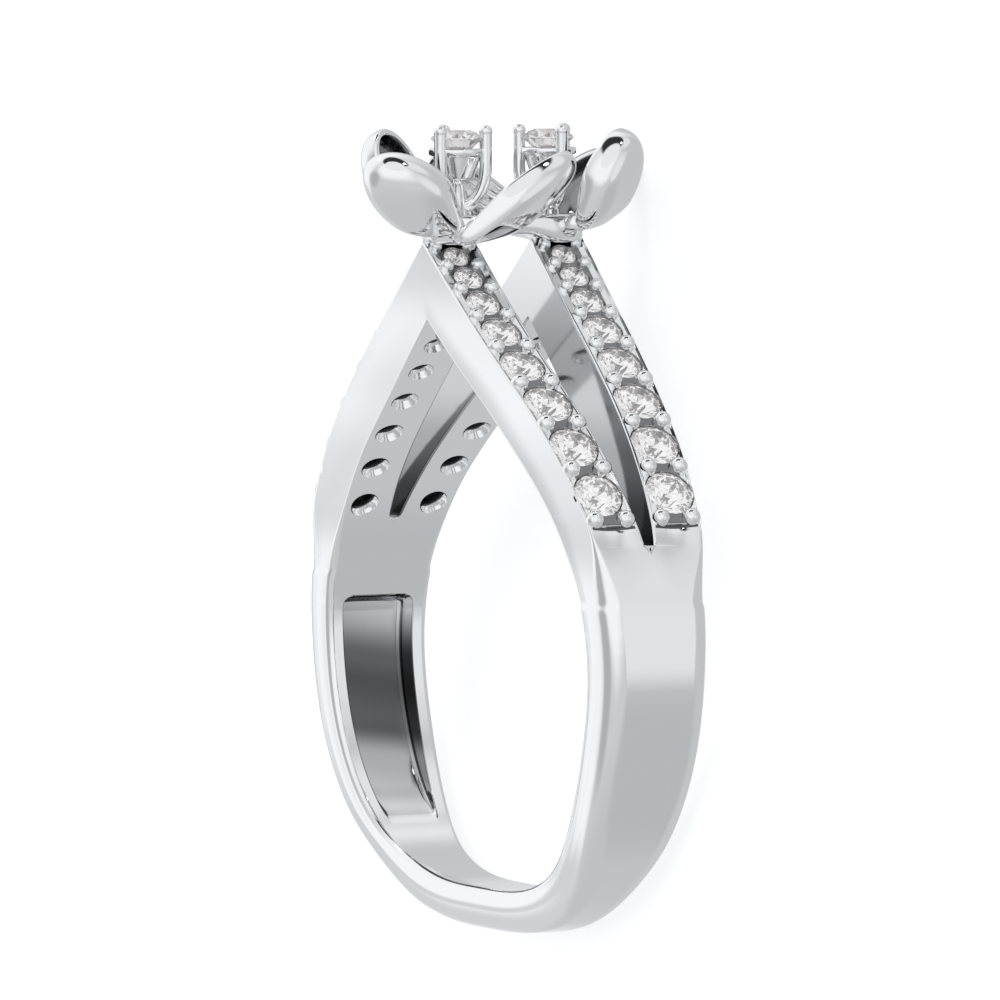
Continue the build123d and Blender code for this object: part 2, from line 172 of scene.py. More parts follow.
# The grain beads between them, stretched up and down to a drop.
BEAD_SIZES = (0.2, 0.29)
BEAD_OFFSET = 0.53
BEAD_ABOVE = 0.96
BEAD_BELOW = 1.5

# A stone's seat and the round hole under it, which flares where it comes out inside.
SEAT_GAP = 0.03
SEAT_SIDES = 40
SEAT_ABOVE = 0.6
SEAT_BELOW = 0.6
AZURE_SHARE = 0.19
AZURE_FLARE = 0.18
AZURE_FLARE_DEPTH = 0.26
FLARE_BEND = (0.75, 0.3)
FLARE_OVERLAP = 0.02

# How the cut band is shaded: weight of large faces, and how far a corner is drawn into its face.
SHADING_WEIGHT = 80
CORNER_PULL = 0.03

# The bridge under the head.
BRIDGE_TOP = 12.1026
BRIDGE_LENGTH = 5.3
BRIDGE_WIDTH = 2.1
BRIDGE_THICKNESS = 0.9
BRIDGE_CUTS = 11
BRIDGE_LEAST = 0.12
BRIDGE_HOLLOW = 0.3
BRIDGE_HOLLOW_HALF = 0.6
BRIDGE_HOLLOW_RUN = 0.9
BRIDGE_EDGE = 0.16

# The two claw settings.
GIRDLE_HEIGHT = 14.5026
SETTING_OFFSET = 1.6
CLAW_STONE = 1.62
CLAW_RADIUS = 0.2
CLAW_ANGLES = (60, 180, 300)
CLAW_TOP = 0.2
CLAW_BEND = 0.85
CLAW_FOOT = 2.15
CLAW_ROOT = 0.12
CLAW_STEPS = 10
CLAW_SIDES = 24
CLAW_UPRIGHT = (0.25, 0.12, 0.08)
CLAW_TIP_STEPS = range(-2, 9)
CLAW_TIP_END = 8.2
CLAW_TIP_SWELL = 1.08
RAIL_DROP = 0.25
RAIL_LIP = 0.07
CUP_SIDES = 56
# The cup in profile. Columns: radius, or distance in from the rail's edge; height from the rail's top.
CUP_FLOOR = [(0.0, -0.76), (0.12, -0.74)]
CUP_RAIL = [
    (0.1, -0.06),
    (0.07, -0.01),
    (0.03, 0.0),
    (0.0, -0.04),
    (0.0, -0.17),
    (0.03, -0.21),
    (0.13, -0.24),
    (0.15, -0.28),
    (0.16, -0.34),
]
CUP_STEM = [(0.55, -0.9), (0.5, -0.97), (0.42, -1.0), (0.3, -1.02), (0.26, -1.2), (0.28, -1.6), (0.4, -2.2)]

# Petals, each with a twin turned half round the head. Columns: name, centre, long axis, long half,
# short half, direction in which it opens, narrowing towards the root, inside painted darker as shade.
PETALS = [
    ("outer_petal", (1.0, 12.8, 3.56), (0.0, 0.568, 0.823), 1.93, 1.17, (-0.8, 0.55, -0.25), 0.35, True),
    ("inner_petal", (1.45, 13.2, -2.75), (0.0, 0.867, -0.498), 1.75, 1.13, (-0.8, 0.5, 0.3), 0.4, True),
    ("leaf", (1.25, 12.67, 0.2), (0.0, 0.55, -0.835), 2.38, 0.98, (-0.66, 0.7, 0.3), 0.5, False),
]
PETAL_WALL = 0.24
PETAL_SQUARE = 3.0
PETAL_DEPTH = 0.88
PETAL_LIFT = 0.1
PETAL_CUTS = 7
PETAL_LEVELS = 2
NARROWING_START = 0.1
NARROWING_RUN = 0.9
FACING_IN = -0.2

# The stalks from petals and leaves into the bridge: overlap with the petal, where they end, how far
# their middle stands off, and their radii.
ROOT_OVERLAP = 0.25
ROOT_ASIDE = 0.25
ROOT_DRAWN_IN = 0.9
ROOT_BEND = (0.12, -0.05, 0)
ROOT_RADII = (0.3, 0.34, 0.4)
ROOT_SIDES = 20

# The silver's colour and surface: scale and detail of its two noises, and the ripple's depth.
BRIGHT = (0.93, 0.935, 0.94)
MARKS = (2600, 5)
MARKS_STRETCH = (1.0, 0.25, 1.0)
RIPPLES = (420, 2)
RIPPLE_DEPTH = 0.00002

# Places between which the pockets' painted shade runs along the ring, and its greys from foot to top.
POCKET_SHADE_FOOT = -0.0102
POCKET_SHADE_TOP = -0.0024
POCKET_SHADES = [(0.0, 0.85), (0.3, 0.5), (0.42, 0.16), (0.6, 0.1), (0.7, 0.14), (1.0, 0.95)]

# The same for the walls of the gap between two strands, and for the strands' faces to front and back.
# The slot's greys are painted shade, darker towards its foot.
SLOT_SHADE_FOOT = -0.0006
SLOT_SHADE_TOP = 0.009
SLOT_SHADES = [(0.0, 0.1), (0.12, 0.22), (0.3, 0.38), (0.5, 0.6), (1.0, 0.85)]
# The strands' faces' greys are painted reflections, greyer towards the head and in a band low down.
SIDE_SHADE_FOOT = -0.0020
SIDE_SHADE_TOP = 0.0092
SIDE_SHADES = [(0.0, 0.93), (0.14, 0.72), (0.3, 0.82), (0.48, 0.93), (0.68, 0.9), (0.84, 0.68), (1.0, 0.5)]
SHADE_BLUE = 1.02

# The clear stones' faint cloud.
CLOUD = (1800, 3)
CLOUD_CLEAR = (1.0, 0.995, 0.99, 1)
CLOUD_WARM = (0.99, 0.965, 0.96, 1)

# The tent's greys by direction from the standing ring, each painted over the last.
# Columns: direction, cosine where it starts, cosine where it is full, brightness.
TENT_BASE = 0.62
TENT_BASE_TINT = (1, 1.015, 1.03)
TENT_TINT = (1, 1.01, 1.02)
TENT = [
    ((0.0, 0.3, -1.0), 0.3, 0.9, 0.56),
    ((0.72, 0.5, 0.45), 0.6, 0.92, 0.95),
    ((-0.8, 0.5, 0.1), 0.3, 0.8, 0.95),
    ((-0.889, -0.1, 0.44), 0.8, 0.985, 0.97),
    ((-1.0, 0.0, -0.2), 0.94, 0.99, 0.66),
    ((0.0, -1.0, 0.0), 0.4, 0.95, 0.56),
    ((0.62, -0.65, -0.45), 0.78, 0.97, 0.5),
    ((0.86, 0.25, -0.45), 0.9, 0.985, 0.74),
    ((0.3, 0.84, -0.45), 0.92, 0.99, 0.8),
    ((-0.05, -0.1, 1.0), 0.85, 0.98, 0.45),
    ((-0.85, -0.5, 0.17), 0.88, 0.97, 0.66),
    ((-0.7, 0.5, -0.5), 0.82, 0.97, 0.58),
    ((0.86, 0.1, -0.45), 0.93, 0.99, 0.8),
    ((0.22, 1.0, 0.05), 0.895, 0.93, 0.03),
    ((0.55, 0.83, 0.2), 0.9, 0.93, 0.85),
]
FLOOR_SIZE = 3

# Lamps round a point a little above the floor. Columns: name, direction from the standing ring,
# distance, size, power.
LAMPS = [
    ("window_left", (-0.35, 0.9, 0.35), 0.4, 0.04, 0.04),
    ("window_right", (0.3, 0.9, -0.25), 0.4, 0.03, 0.03),
]
LAMPS_ROUND = (0, 0, 0.005)

# The camera, seen from the standing ring, in millimetres.
VIEW_FROM = (0.8888, 0.0698, 0.4529)
VIEW_DISTANCE = 350.0
VIEW_HEIGHT = 3.17
VIEW_ASIDE = 0.11
VIEW_ROLL = 0.003
LENS = 403.2
SENSOR = 36
NEAREST = 0.01
FARTHEST = 20


# Curves and tables


def unit(v):
    return v / np.linalg.norm(v)


def ease(share):
    """A soft step from 0 to 1."""
    s = min(1.0, max(0.0, share))
    return s * s * (3 - 2 * s)


def read(table, place):
    """Value at a place in a table of pairs, straight from row to row."""
    return float(np.interp(place, [row[0] for row in table], [row[1] for row in table]))


class Outline:
    """A smooth curve through a few points, read by its share of the way along."""

    def __init__(self, points, start=None, end=None):
        p = np.array(points, float)
        first = unit(np.array(start if start is not None else p[1] - p[0], float))
        last = unit(np.array(end if end is not None else p[-1] - p[-2], float))
        h = np.linalg.norm(np.diff(p, axis=0), axis=1)
        self.line = self.drawn(p, h, self.leans(p, h, first, last))
        steps = np.linalg.norm(np.diff(self.line, axis=0), axis=1)
        self.run = np.concatenate([[0], np.cumsum(steps)])
        self.length = float(self.run[-1])

    @staticmethod
    def leans(p, h, first, last):
        """The curve's direction at each point, so that it bends evenly through all of them."""
        n = len(p)
        ties = np.zeros((n, n))
        wanted = np.zeros((n, 2))
        ties[0, 0] = ties[-1, -1] = 1
        wanted[0], wanted[-1] = first, last
        for i in range(1, n - 1):
            ties[i, i - 1 : i + 2] = 1 / h[i - 1], 2 / h[i - 1] + 2 / h[i], 1 / h[i]
            wanted[i] = 3 * ((p[i] - p[i - 1]) / h[i - 1] ** 2 + (p[i + 1] - p[i]) / h[i] ** 2)
        return np.linalg.solve(ties, wanted)

    @staticmethod
    def drawn(p, h, lean):
        """Close points along the curve, span by span."""
        t = np.linspace(0, 1, SPAN_STEPS, endpoint=False)[:, None]
        runs = []
        for i in range(len(p) - 1):
            runs.append(
                (2 * t**3 - 3 * t**2 + 1) * p[i]
                + (t**3 - 2 * t**2 + t) * h[i] * lean[i]
                + (3 * t**2 - 2 * t**3) * p[i + 1]
                + (t**3 - t**2) * h[i] * lean[i + 1]
            )
        return np.vstack(runs + [p[-1:]])

    def at(self, share):
        place = share * self.length
        return np.array([np.interp(place, self.run, self.line[:, k]) for k in (0, 1)])

    def along(self, share):
        return unit(self.at(min(1.0, share + NEARBY)) - self.at(max(0.0, share - NEARBY)))

    def share_at(self, height):
        """Share at which an outline that runs downwards passes a height."""
        return float(np.interp(-height, -self.line[:, 1], self.run)) / self.length

    def value(self, place):
        """The second number of a table's curve at its first number."""
        return float(np.interp(place, self.line[:, 0], self.line[:, 1]))


def hole_outline():
    points = [(0, HOLE_TOP)]
    points += [(x * HOLE_HALF, y * (HOLE_TOP if y > 0 else HOLE_BOTTOM)) for x, y in HOLE_OUTLINE]
    return Outline(points + [(0, -HOLE_BOTTOM)], HOLE_START, LEVEL)


def outer_outline(rise):
    """The outside of the wall, or a line that stands out over it."""
    points = []
    for i in range(WALL_STEPS + 1):
        share = i / WALL_STEPS
        at, along = INNER.at(share), INNER.along(share)
        wall = read(WALLS, share) + rise
        if i == 0:
            points.append((0, at[1] + wall / along[0]))
        elif i == WALL_STEPS:
            points.append((0, at[1] - wall))
        else:
            points.append((at[0] - along[1] * wall, at[1] + along[0] * wall))
    return Outline(points, INNER.along(0), LEVEL)


INNER = hole_outline()
OUTER = outer_outline(0)
PAVED = outer_outline(PAVE_RISE)
WIDE_BELOW = Outline(HALF_WIDTH_BELOW)
WIDE_ABOVE = Outline(HALF_WIDTH_ABOVE)
SLOT = Outline(SLOT_HALF_GAP)


def half_width(y):
    low, high = WIDE_BELOW.value(min(y, WAIST)), WIDE_ABOVE.value(max(y, WAIST))
    step = ease((y - WAIST + WAIST_BLEND) / (2 * WAIST_BLEND))
    return low + (high - low) * step


def half_gap(y):
    centre = SLOT_FOOT + SLOT_FOOT_RADIUS
    if y <= SLOT_FOOT:
        return 0.0
    if y < centre:
        return math.sqrt(max(0.0, SLOT_FOOT_RADIUS**2 - (centre - y) ** 2))
    return SLOT.value(y)


def slot_edge(y):
    """How far the slot's edges are rounded, less where the slot is narrow."""
    return min(SLOT_EDGE, SLOT_EDGE_SHARE * half_gap(y))


# Objects


def placed_object(name, data):
    """A new object of the scene."""
    made = bpy.data.objects.new(name, data)
    bpy.context.scene.collection.objects.link(made)
    return made


def finish_piece(bm, name, materials, standing=True):
    """The object of a finished bmesh. A standing one is laid down and brought to metres first."""
    if standing:
        bmesh.ops.transform(bm, matrix=LAID, verts=bm.verts)
    mesh = bpy.data.meshes.new(name)
    bm.to_mesh(mesh)
    bm.free()
    for face in mesh.polygons:
        face.use_smooth = True
    for material in materials:
        mesh.materials.append(material)
    return placed_object(name, mesh)


def on_ring(piece):
    """A visible piece of the ring's metal."""
    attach(piece, "root")
    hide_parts("ring_metal")
    return piece


# The band: shank, shoulders and strands


def station_shares():
    """Shares along the hole's outline at which the band is sectioned, close together at each feature."""
    features = [SHELF + d for d in SHELF_STATIONS]
    features += [SLOT_FOOT + d for d in SLOT_STATIONS]
    features += [WAIST + WAIST_BLEND * d for d in WAIST_STATIONS]
    features += [POCKET_TOP - d for d, _ in POCKET_EDGE]
    shares = [INNER.share_at(height) for height in features]
    near = STATION_GAP / INNER.length
    for i in range(STATIONS + 1):
        if all(abs(i / STATIONS - share) > near for share in shares):
            shares.append(i / STATIONS)
    return sorted(shares)


def paired_share(share):
    """Share along the outside that belongs to a share along the hole: level with it from waist to shelf."""
    heights = (SHELF, SLOT_FOOT, WAIST)
    inner = [0.0] + [INNER.share_at(h) for h in heights] + [1.0]
    outer = [0.0] + [OUTER.share_at(h) for h in heights] + [1.0]
    return float(np.interp(share, inner, outer))


def pocket_depth(share):
    top, foot = INNER.share_at(POCKET_TOP), INNER.share_at(POCKET_FOOT)
    way = (share - top) / (foot - top)
    if way > 1:
        return 0.0
    entry = read(POCKET_EDGE, (share - top) * INNER.length)
    return POCKET_DEPTH * entry * math.cos(math.pi / 2 * max(0.0, way) ** 2)


def pocket_corner(share):
    """How far the pocket draws in near its top, so that its corners are round."""
    short = POCKET_CORNER - max(0.0, share - INNER.share_at(POCKET_TOP)) * INNER.length
    if short <= 0:
        return 0.0
    return POCKET_CORNER - math.sqrt(max(0.0, POCKET_CORNER**2 - min(short, POCKET_CORNER) ** 2))


def shank_share(y):
    """0 on the strands, 1 on the plain shank."""
    return 1 - ease((y - WAIST) / (SHELF - WAIST))


def surface_rise(share, z, gap, wide):
    """How far the outside stands out over the plain wall: the paved bed, and the flutes below it."""
    shelf = OUTER.share_at(SHELF)
    below = (share - shelf) * OUTER.length
    if below <= 0:
        rim = min(wide - z, z - gap)
        bed = ease((rim - RIM_START) / RIM_SLOPE) * ease((-below - RIM_END[0]) / (RIM_END[1] - RIM_END[0]))
        return PAVE_RISE - RIM_DROP * bed
    across = (z - gap) / max(LEAST_STRAND, wide - gap)
    flute = 0.5 - 0.5 * math.cos(2 * math.pi * min(1.0, max(0.0, across)))
    fade = 1 - ease(below / FLUTE_LENGTH)
    scoop = SCOOP_DEPTH * max(0.0, 1 - below / SCOOP_LENGTH) ** 2
    return fade * (PAVE_RISE - FLUTE_DIP * flute) - scoop * flute


def quarter(steps):
    """The steps of a quarter turn: number, 1 - cosine, 1 - sine."""
    for k in range(steps + 1):
        turn = math.pi / 2 * k / steps
        yield k, 1 - math.cos(turn), 1 - math.sin(turn)


class Station:
    """One place along the hole's outline, with what the band's section there is drawn from."""

    def __init__(self, share):
        self.share = share
        self.out = paired_share(share)
        self.inner, self.outer = INNER.at(share), OUTER.at(self.out)
        self.wall = float(np.linalg.norm(self.outer - self.inner))
        self.across = (self.outer - self.inner) / self.wall
        along = OUTER.along(self.out)
        self.outward = np.array((-along[1], along[0]))
        if share == 0:
            self.outward = np.array((0.0, 1 / self.outward[1]))
        shank = shank_share(self.inner[1])
        self.inner_edge = INNER_EDGE_STRAND + (INNER_EDGE_SHANK - INNER_EDGE_STRAND) * shank
        self.outer_edge = OUTER_EDGE_STRAND + (OUTER_EDGE_SHANK - OUTER_EDGE_STRAND) * shank
        self.wide, self.gap = half_width(self.outer[1]), half_gap(self.outer[1])

    def rise(self, z):
        return surface_rise(self.out, z, self.gap, self.wide)

    def point(self, depth, z, rise=0.0):
        """A point so far out from the hole's wall. Its z is a number, or a function of its height."""
        flat = self.inner + self.across * depth + self.outward * rise * (max(0.0, depth) / self.wall) ** 2
        return (flat[0], flat[1], z(flat[1]) if callable(z) else z)


def hole_points(station):
    """Across the hole's side: the pocket's floor and edge, or even rows on the strands."""
    y = station.inner[1]
    low = half_gap(y) + slot_edge(y)
    high = half_width(y) - station.inner_edge
    reach = half_width(min(y, WAIST - WAIST_BLEND)) - POCKET_RIM - pocket_corner(station.share)
    rows = [(row * (reach - POCKET_EDGE[-1][0]), 1.0) for row in POCKET_FLOOR_ROWS]
    rows += [(reach - past, part) for past, part in reversed(POCKET_EDGE)]
    even = ease((y - WAIST) / EVEN_ROWS_RUN)
    depth = pocket_depth(station.share)
    points = []
    for k, (in_pocket, part) in enumerate(rows):
        spread = low + (high - low) * k / (len(rows) + 1)
        z = (1 - even) * max(in_pocket, 0.0) + even * spread
        points.append(station.point(depth * part, z))
    return points + [station.point(0, (points[-1][2] + high) / 2)]


def front_points(station):
    """Over the front with its two rounded edges, from the hole to the outside."""
    inner_edge, outer_edge, wall = station.inner_edge, station.outer_edge, station.wall
    rise = station.rise(station.wide - outer_edge)
    points = []
    for k, lean, rest in quarter(EDGE_STEPS):
        side = FRONT_CROWN * k / EDGE_STEPS
        points.append(station.point(inner_edge * lean, lambda y: half_width(y) - side - inner_edge * rest))
    for k in range(1, FRONT_ROWS):
        depth = inner_edge + (wall - outer_edge - inner_edge) * k / FRONT_ROWS
        crown = FRONT_CROWN * (2 * k / FRONT_ROWS - 1) ** 2
        points.append(station.point(depth, lambda y: half_width(y) - crown, rise))
    for k, lean, rest in quarter(EDGE_STEPS):
        side = FRONT_CROWN * (1 - k / EDGE_STEPS)
        depth = wall - outer_edge * rest
        points.append(station.point(depth, lambda y: half_width(y) - side - outer_edge * lean, rise))
    return points


def bed_points(station):
    """Across the outside, from the front's edge to the slot's."""
    top = station.wide - station.outer_edge
    foot = station.gap + slot_edge(station.outer[1])
    margin = BED_MARGINS[1]
    stops = [top - m for m in BED_MARGINS]
    stops += [top - margin + (foot - top + 2 * margin) * k / BED_ROWS for k in range(1, BED_ROWS)]
    stops += [foot + m for m in reversed(BED_MARGINS)]
    return [station.point(station.wall, z, station.rise(z)) for z in stops]


def slot_points(station):
    """Down the slot's wall with its two rounded edges, from the outside to the hole."""
    rise, wall = station.rise(station.gap), station.wall
    points = []
    edge = slot_edge(station.outer[1])
    for _, lean, rest in quarter(SLOT_EDGE_STEPS):
        points.append(station.point(wall - edge * lean, lambda y: half_gap(y) + slot_edge(y) * rest, rise))
    for k in range(1, SLOT_ROWS):
        points.append(station.point(wall * (1 - k / SLOT_ROWS), half_gap, rise))
    edge = slot_edge(station.inner[1])
    for _, lean, rest in quarter(SLOT_EDGE_STEPS):
        points.append(station.point(edge * rest, lambda y: half_gap(y) + slot_edge(y) * lean))
    return points


def section(share):
    """One station's closed section: hole's side, front, outside, slot."""
    station = Station(share)
    return hole_points(station) + front_points(station) + bed_points(station) + slot_points(station)


def band_patches():
    """Cells of the band's grid with a silver of their own: part, columns, whether a share belongs to it."""
    shelf, slot_foot, waist = (INNER.share_at(h) for h in (SHELF, SLOT_FOOT, WAIST + WAIST_BLEND))
    shade_line_top, shade_line_foot = (INNER.share_at(SHELF + d) for d in (SHADE_LINE_TOP, SHADE_LINE_FOOT))
    return [
        ("pocket", POCKET_COLUMNS, lambda share: pocket_depth(share) > POCKET_STARTS),
        ("shade_line", SHADE_LINE_COLUMNS, lambda share: shade_line_top < share < shade_line_foot),
        ("bed", BED_COLUMNS, lambda share: share < shelf),
        ("slot", SLOT_COLUMNS, lambda share: share < slot_foot),
        ("side", SIDE_COLUMNS, lambda share: share < waist),
    ]


def band_grid():
    """A quarter of the band: a grid drawn over its sections, each cell with its silver."""
    shares = station_shares()
    sections = [section(share) for share in shares]
    rows, columns = len(sections), len(sections[0])
    patches = band_patches()
    members = [set() for _ in patches]
    bm = bmesh.new()
    bmesh.ops.create_grid(bm, x_segments=rows - 1, y_segments=columns, size=1)
    for v in bm.verts:
        i = round((v.co.x + 1) / 2 * (rows - 1))
        j = round((v.co.y + 1) / 2 * columns) % columns
        v.co = sections[i][j]
        for inside, (_, (first, last), belongs) in zip(members, patches):
            if first <= j <= last and belongs(shares[i]):
                inside.add(v)
    for face in bm.faces:
        for inside, (part, _, _) in zip(members, patches):
            if all(v in inside for v in face.verts):
                face.material_index = BAND_PARTS.index(part)
                break
    return bm


def band_mesh():
    """The whole band from one quarter, mirrored twice."""
    bm = band_grid()
    for v in bm.verts:
        if abs(v.co.x) < ON_MIDDLE:
            v.co.x = 0.0
    flat = [f for f in bm.faces if all(abs(v.co.z) < ON_PLANE for v in f.verts)]
    bmesh.ops.delete(bm, geom=flat, context="FACES")
    bmesh.ops.remove_doubles(bm, verts=bm.verts, dist=MERGED)
    bmesh.ops.dissolve_degenerate(bm, edges=bm.edges, dist=SLIVER)
    for axis in ("X", "Z"):
        whole = bm.verts[:] + bm.edges[:] + bm.faces[:]
        bmesh.ops.mirror(bm, geom=whole, merge_dist=MIRROR_MERGED, axis=axis)
    bmesh.ops.remove_doubles(bm, verts=bm.verts, dist=MERGED)
    bmesh.ops.recalc_face_normals(bm, faces=bm.faces)
    return bm


# Pave: where each stone and bead of the strands sits


def pave_runs():
    """Stones and beads of one strand: kind, size, distance from the paved line's top."""
    foot = PAVED.share_at(SHELF) * PAVED.length - PAVE_FOOT_MARGIN
    small, large = PAVE_SIZES
    sizes = [small + (large - small) * share for share, _ in PAVE]
    unit_gap = (foot - PAVE_TOP_MARGIN - sum(sizes)) / (sum(w for _, w in PAVE) + PAVE_LAST_GAP / 2)
    bead_small, bead_large = BEAD_SIZES
    runs, reached = [], PAVE_TOP_MARGIN
    for size, (share, weight) in zip(sizes, PAVE):
        gap = unit_gap * weight
        runs.append(("bead", bead_small + (bead_large - bead_small) * share, reached + gap / 2))
        reached += gap + size
        runs.append(("stone", size, reached - size / 2))
    runs.append(("bead", bead_large, foot))
    return runs


def pave_places():
    """The same in the ring's plane: kind, size, point, outward, along."""
    placed = []
    for kind, size, run in pave_runs():
        at, along = PAVED.at(run / PAVED.length), PAVED.along(run / PAVED.length)
        placed.append((kind, size, at, Vector((-along[1], along[0], 0)), Vector((along[0], along[1], 0))))
    return placed


def strand_middle(y):
    return (read(HALF_WIDTH_ABOVE, y) + read(SLOT_HALF_GAP, max(y, SLOT_HALF_GAP[0][0]))) / 2


def stand(at, z, outward, along, sink=0.0):
    """Matrix that stands a piece made round the z axis on a strand."""
    place = Vector((at[0], at[1], z)) - outward * sink
    side = outward.cross(along)
    return Matrix.Translation(place) @ Matrix((along, side, outward)).transposed().to_4x4()


def mirrored_places():
    """Each stone or bead place on all four strands, as (kind, size, matrix)."""
    found = []
    for kind, size, at, outward, along in pave_places():
        middle = strand_middle(at[1])
        offsets = [middle] if kind == "stone" else [middle - BEAD_OFFSET, middle + BEAD_OFFSET]
        sink = PAVE_SINK if kind == "stone" else 0.0
        for z in offsets:
            for side in (1, -1):
                for face in (1, -1):
                    flip = Vector((side, 1, 1))
                    there = stand((at[0] * side, at[1]), z * face, outward * flip, along * flip, sink)
                    found.append((kind, size, there))
    return found


def edge_loop(bm, sides, radius, place):
    """A new circle's edges."""
    circle = bmesh.ops.create_circle(bm, segments=sides, radius=radius, matrix=place)
    return list({e for v in circle["verts"] for e in v.link_edges})


def seat_cutter(bm, size, place, wall):
    """Room for a stone, opened to the inside through a round hole that flares at its end."""
    radius = size / 2 + SEAT_GAP
    hole = size * AZURE_SHARE
    girdle = -GIRDLE_SHARE * size - SEAT_GAP
    cone_end = girdle - (radius - hole) * PAVILION_SHARE * 2
    inside = PAVE_SINK - PAVE_RISE - wall
    bend_out, bend_up = FLARE_BEND
    # Columns: radius, height, part that the wall below it belongs to.
    rings = [
        (radius, SEAT_ABOVE, "seat"),
        (radius, girdle, "seat"),
        (hole, cone_end, "azure"),
        (hole, inside + AZURE_FLARE_DEPTH, "flare"),
        (hole + bend_out * AZURE_FLARE, inside + bend_up * AZURE_FLARE_DEPTH, "flare"),
        (hole + AZURE_FLARE, inside - FLARE_OVERLAP, "seat"),
        (hole + AZURE_FLARE, inside - SEAT_BELOW, "seat"),
    ]
    loops = [edge_loop(bm, SEAT_SIDES, r, place @ Matrix.Translation((0, 0, z))) for r, z, _ in rings]
    # The seat's cone and the hole take darker silvers, as painted shade; the flare keeps a bright one.
    for upper, lower, (_, _, part) in zip(loops, loops[1:], rings):
        made = bmesh.ops.bridge_loops(bm, edges=upper + lower)
        for face in made["faces"]:
            face.material_index = BAND_PARTS.index(part)
    bmesh.ops.holes_fill(bm, edges=loops[0] + loops[-1], sides=SEAT_SIDES)


def seats():
    """The shape that is cut out of the band."""
    bm = bmesh.new()
    for kind, size, place in mirrored_places():
        if kind == "stone":
            wall = read(WALLS, PAVED.share_at(place.translation.y))
            seat_cutter(bm, size, place, wall)
    bmesh.ops.recalc_face_normals(bm, faces=bm.faces)
    return finish_piece(bm, "seats", BAND_FINISHES, standing=False)


def corner_normals_from(piece):
    """A shape's faces and smooth corner normals, to be looked up by place."""
    graph = bpy.context.evaluated_depsgraph_get()
    mesh = piece.evaluated_get(graph).to_mesh()
    spots = [v.co.copy() for v in mesh.vertices]
    faces = [list(p.vertices) for p in mesh.polygons]
    loops = [list(p.loop_indices) for p in mesh.polygons]
    normals = [n.vector.copy() for n in mesh.corner_normals]
    return BVHTree.FromPolygons(spots, faces), spots, faces, loops, normals


def normal_at(source, place, sign):
    """The smooth normal of a shape at the point nearest to a place."""
    tree, spots, faces, loops, normals = source
    spot, _, index, _ = tree.find_nearest(place)
    weights = poly_3d_calc([spots[i] for i in faces[index]], spot)
    found = Vector((0, 0, 0))
    for loop, weight in zip(loops[index], weights):
        found += normals[loop] * weight
    return found.normalized() * sign


def what_is_left(whole, cutter):
    """The mesh of a shape with another cut out of it."""
    cut = whole.modifiers.new("seats", "BOOLEAN")
    cut.operation = "DIFFERENCE"
    cut.solver = "EXACT"
    cut.material_mode = "INDEX"
    cut.object = cutter
    graph = bpy.context.evaluated_depsgraph_get()
    return bpy.data.meshes.new_from_object(whole.evaluated_get(graph))


def cut_normals(mesh, band_shading, seat_shading):
    """The cut band's corner normals, as they were on the band and on the seats' cutter."""
    in_seat = [BAND_PARTS.index(part) for part in ("seat", "azure", "flare")]
    normals = []
    for face in mesh.polygons:
        source, sign = (seat_shading, -1) if face.material_index in in_seat else (band_shading, 1)
        for index in face.loop_indices:
            corner = mesh.vertices[mesh.loops[index].vertex_index].co
            normals.append(normal_at(source, corner.lerp(face.center, CORNER_PULL), sign))
    return normals


def band():
    """The band with its seats cut, shaded as smoothly as it was before they were cut."""
    whole = finish_piece(band_mesh(), "band_uncut", BAND_FINISHES, standing=False)
    level = whole.modifiers.new("even shading", "WEIGHTED_NORMAL")
    level.mode = "FACE_AREA"
    level.weight = SHADING_WEIGHT
    cutter = seats()
    band_shading, seat_shading = corner_normals_from(whole), corner_normals_from(cutter)
    level.show_viewport = False
    mesh = what_is_left(whole, cutter)
    normals = cut_normals(mesh, band_shading, seat_shading)
    for face in mesh.polygons:
        face.use_smooth = True
    mesh.transform(LAID)
    mesh.normals_split_custom_set([TURN.to_3x3() @ n for n in normals])
    for old in (whole, cutter):
        bpy.data.objects.remove(old)
    return on_ring(placed_object("band", mesh))


def beads():
    """Grains of metal pushed up over the stones' edges, each a little drop."""
    bm = bmesh.new()
    for kind, size, place in mirrored_places():
        if kind == "bead":
            made = bmesh.ops.create_uvsphere(bm, u_segments=24, v_segments=16, radius=size)
            for v in made["verts"]:
                v.co.z *= BEAD_ABOVE if v.co.z > 0 else BEAD_BELOW
            bmesh.ops.transform(bm, matrix=place, verts=made["verts"])
    return on_ring(finish_piece(bm, "pave_beads", [SILVER]))


# The head: bridge, petals, leaves and claw settings


def bridge():
    """The bar that joins the strand ends under the head, hollowed a little underneath."""
    bm = bmesh.new()
    bmesh.ops.create_cube(bm, size=1)
    bmesh.ops.scale(bm, vec=(BRIDGE_WIDTH, BRIDGE_THICKNESS, BRIDGE_LENGTH), verts=bm.verts)
    lengthwise = [e for e in bm.edges if abs(e.verts[0].co.z - e.verts[1].co.z) > 1]
    bmesh.ops.subdivide_edges(bm, edges=lengthwise, cuts=BRIDGE_CUTS)
    for v in bm.verts:
        end = abs(v.co.z) / (BRIDGE_LENGTH / 2)
        v.co.x *= math.sqrt(max(BRIDGE_LEAST, 1 - end**4))
        if v.co.y < 0:
            v.co.y += BRIDGE_HOLLOW * (1 - ease((abs(v.co.z) - BRIDGE_HOLLOW_HALF) / BRIDGE_HOLLOW_RUN))
        v.co.y += BRIDGE_TOP - BRIDGE_THICKNESS / 2
    rounding = {"offset": BRIDGE_EDGE, "segments": 2, "profile": 0.5, "affect": "EDGES", "material": -1}
    bmesh.ops.bevel(bm, geom=bm.edges[:], **rounding)
    return on_ring(finish_piece(bm, "head_bridge", [SILVER]))


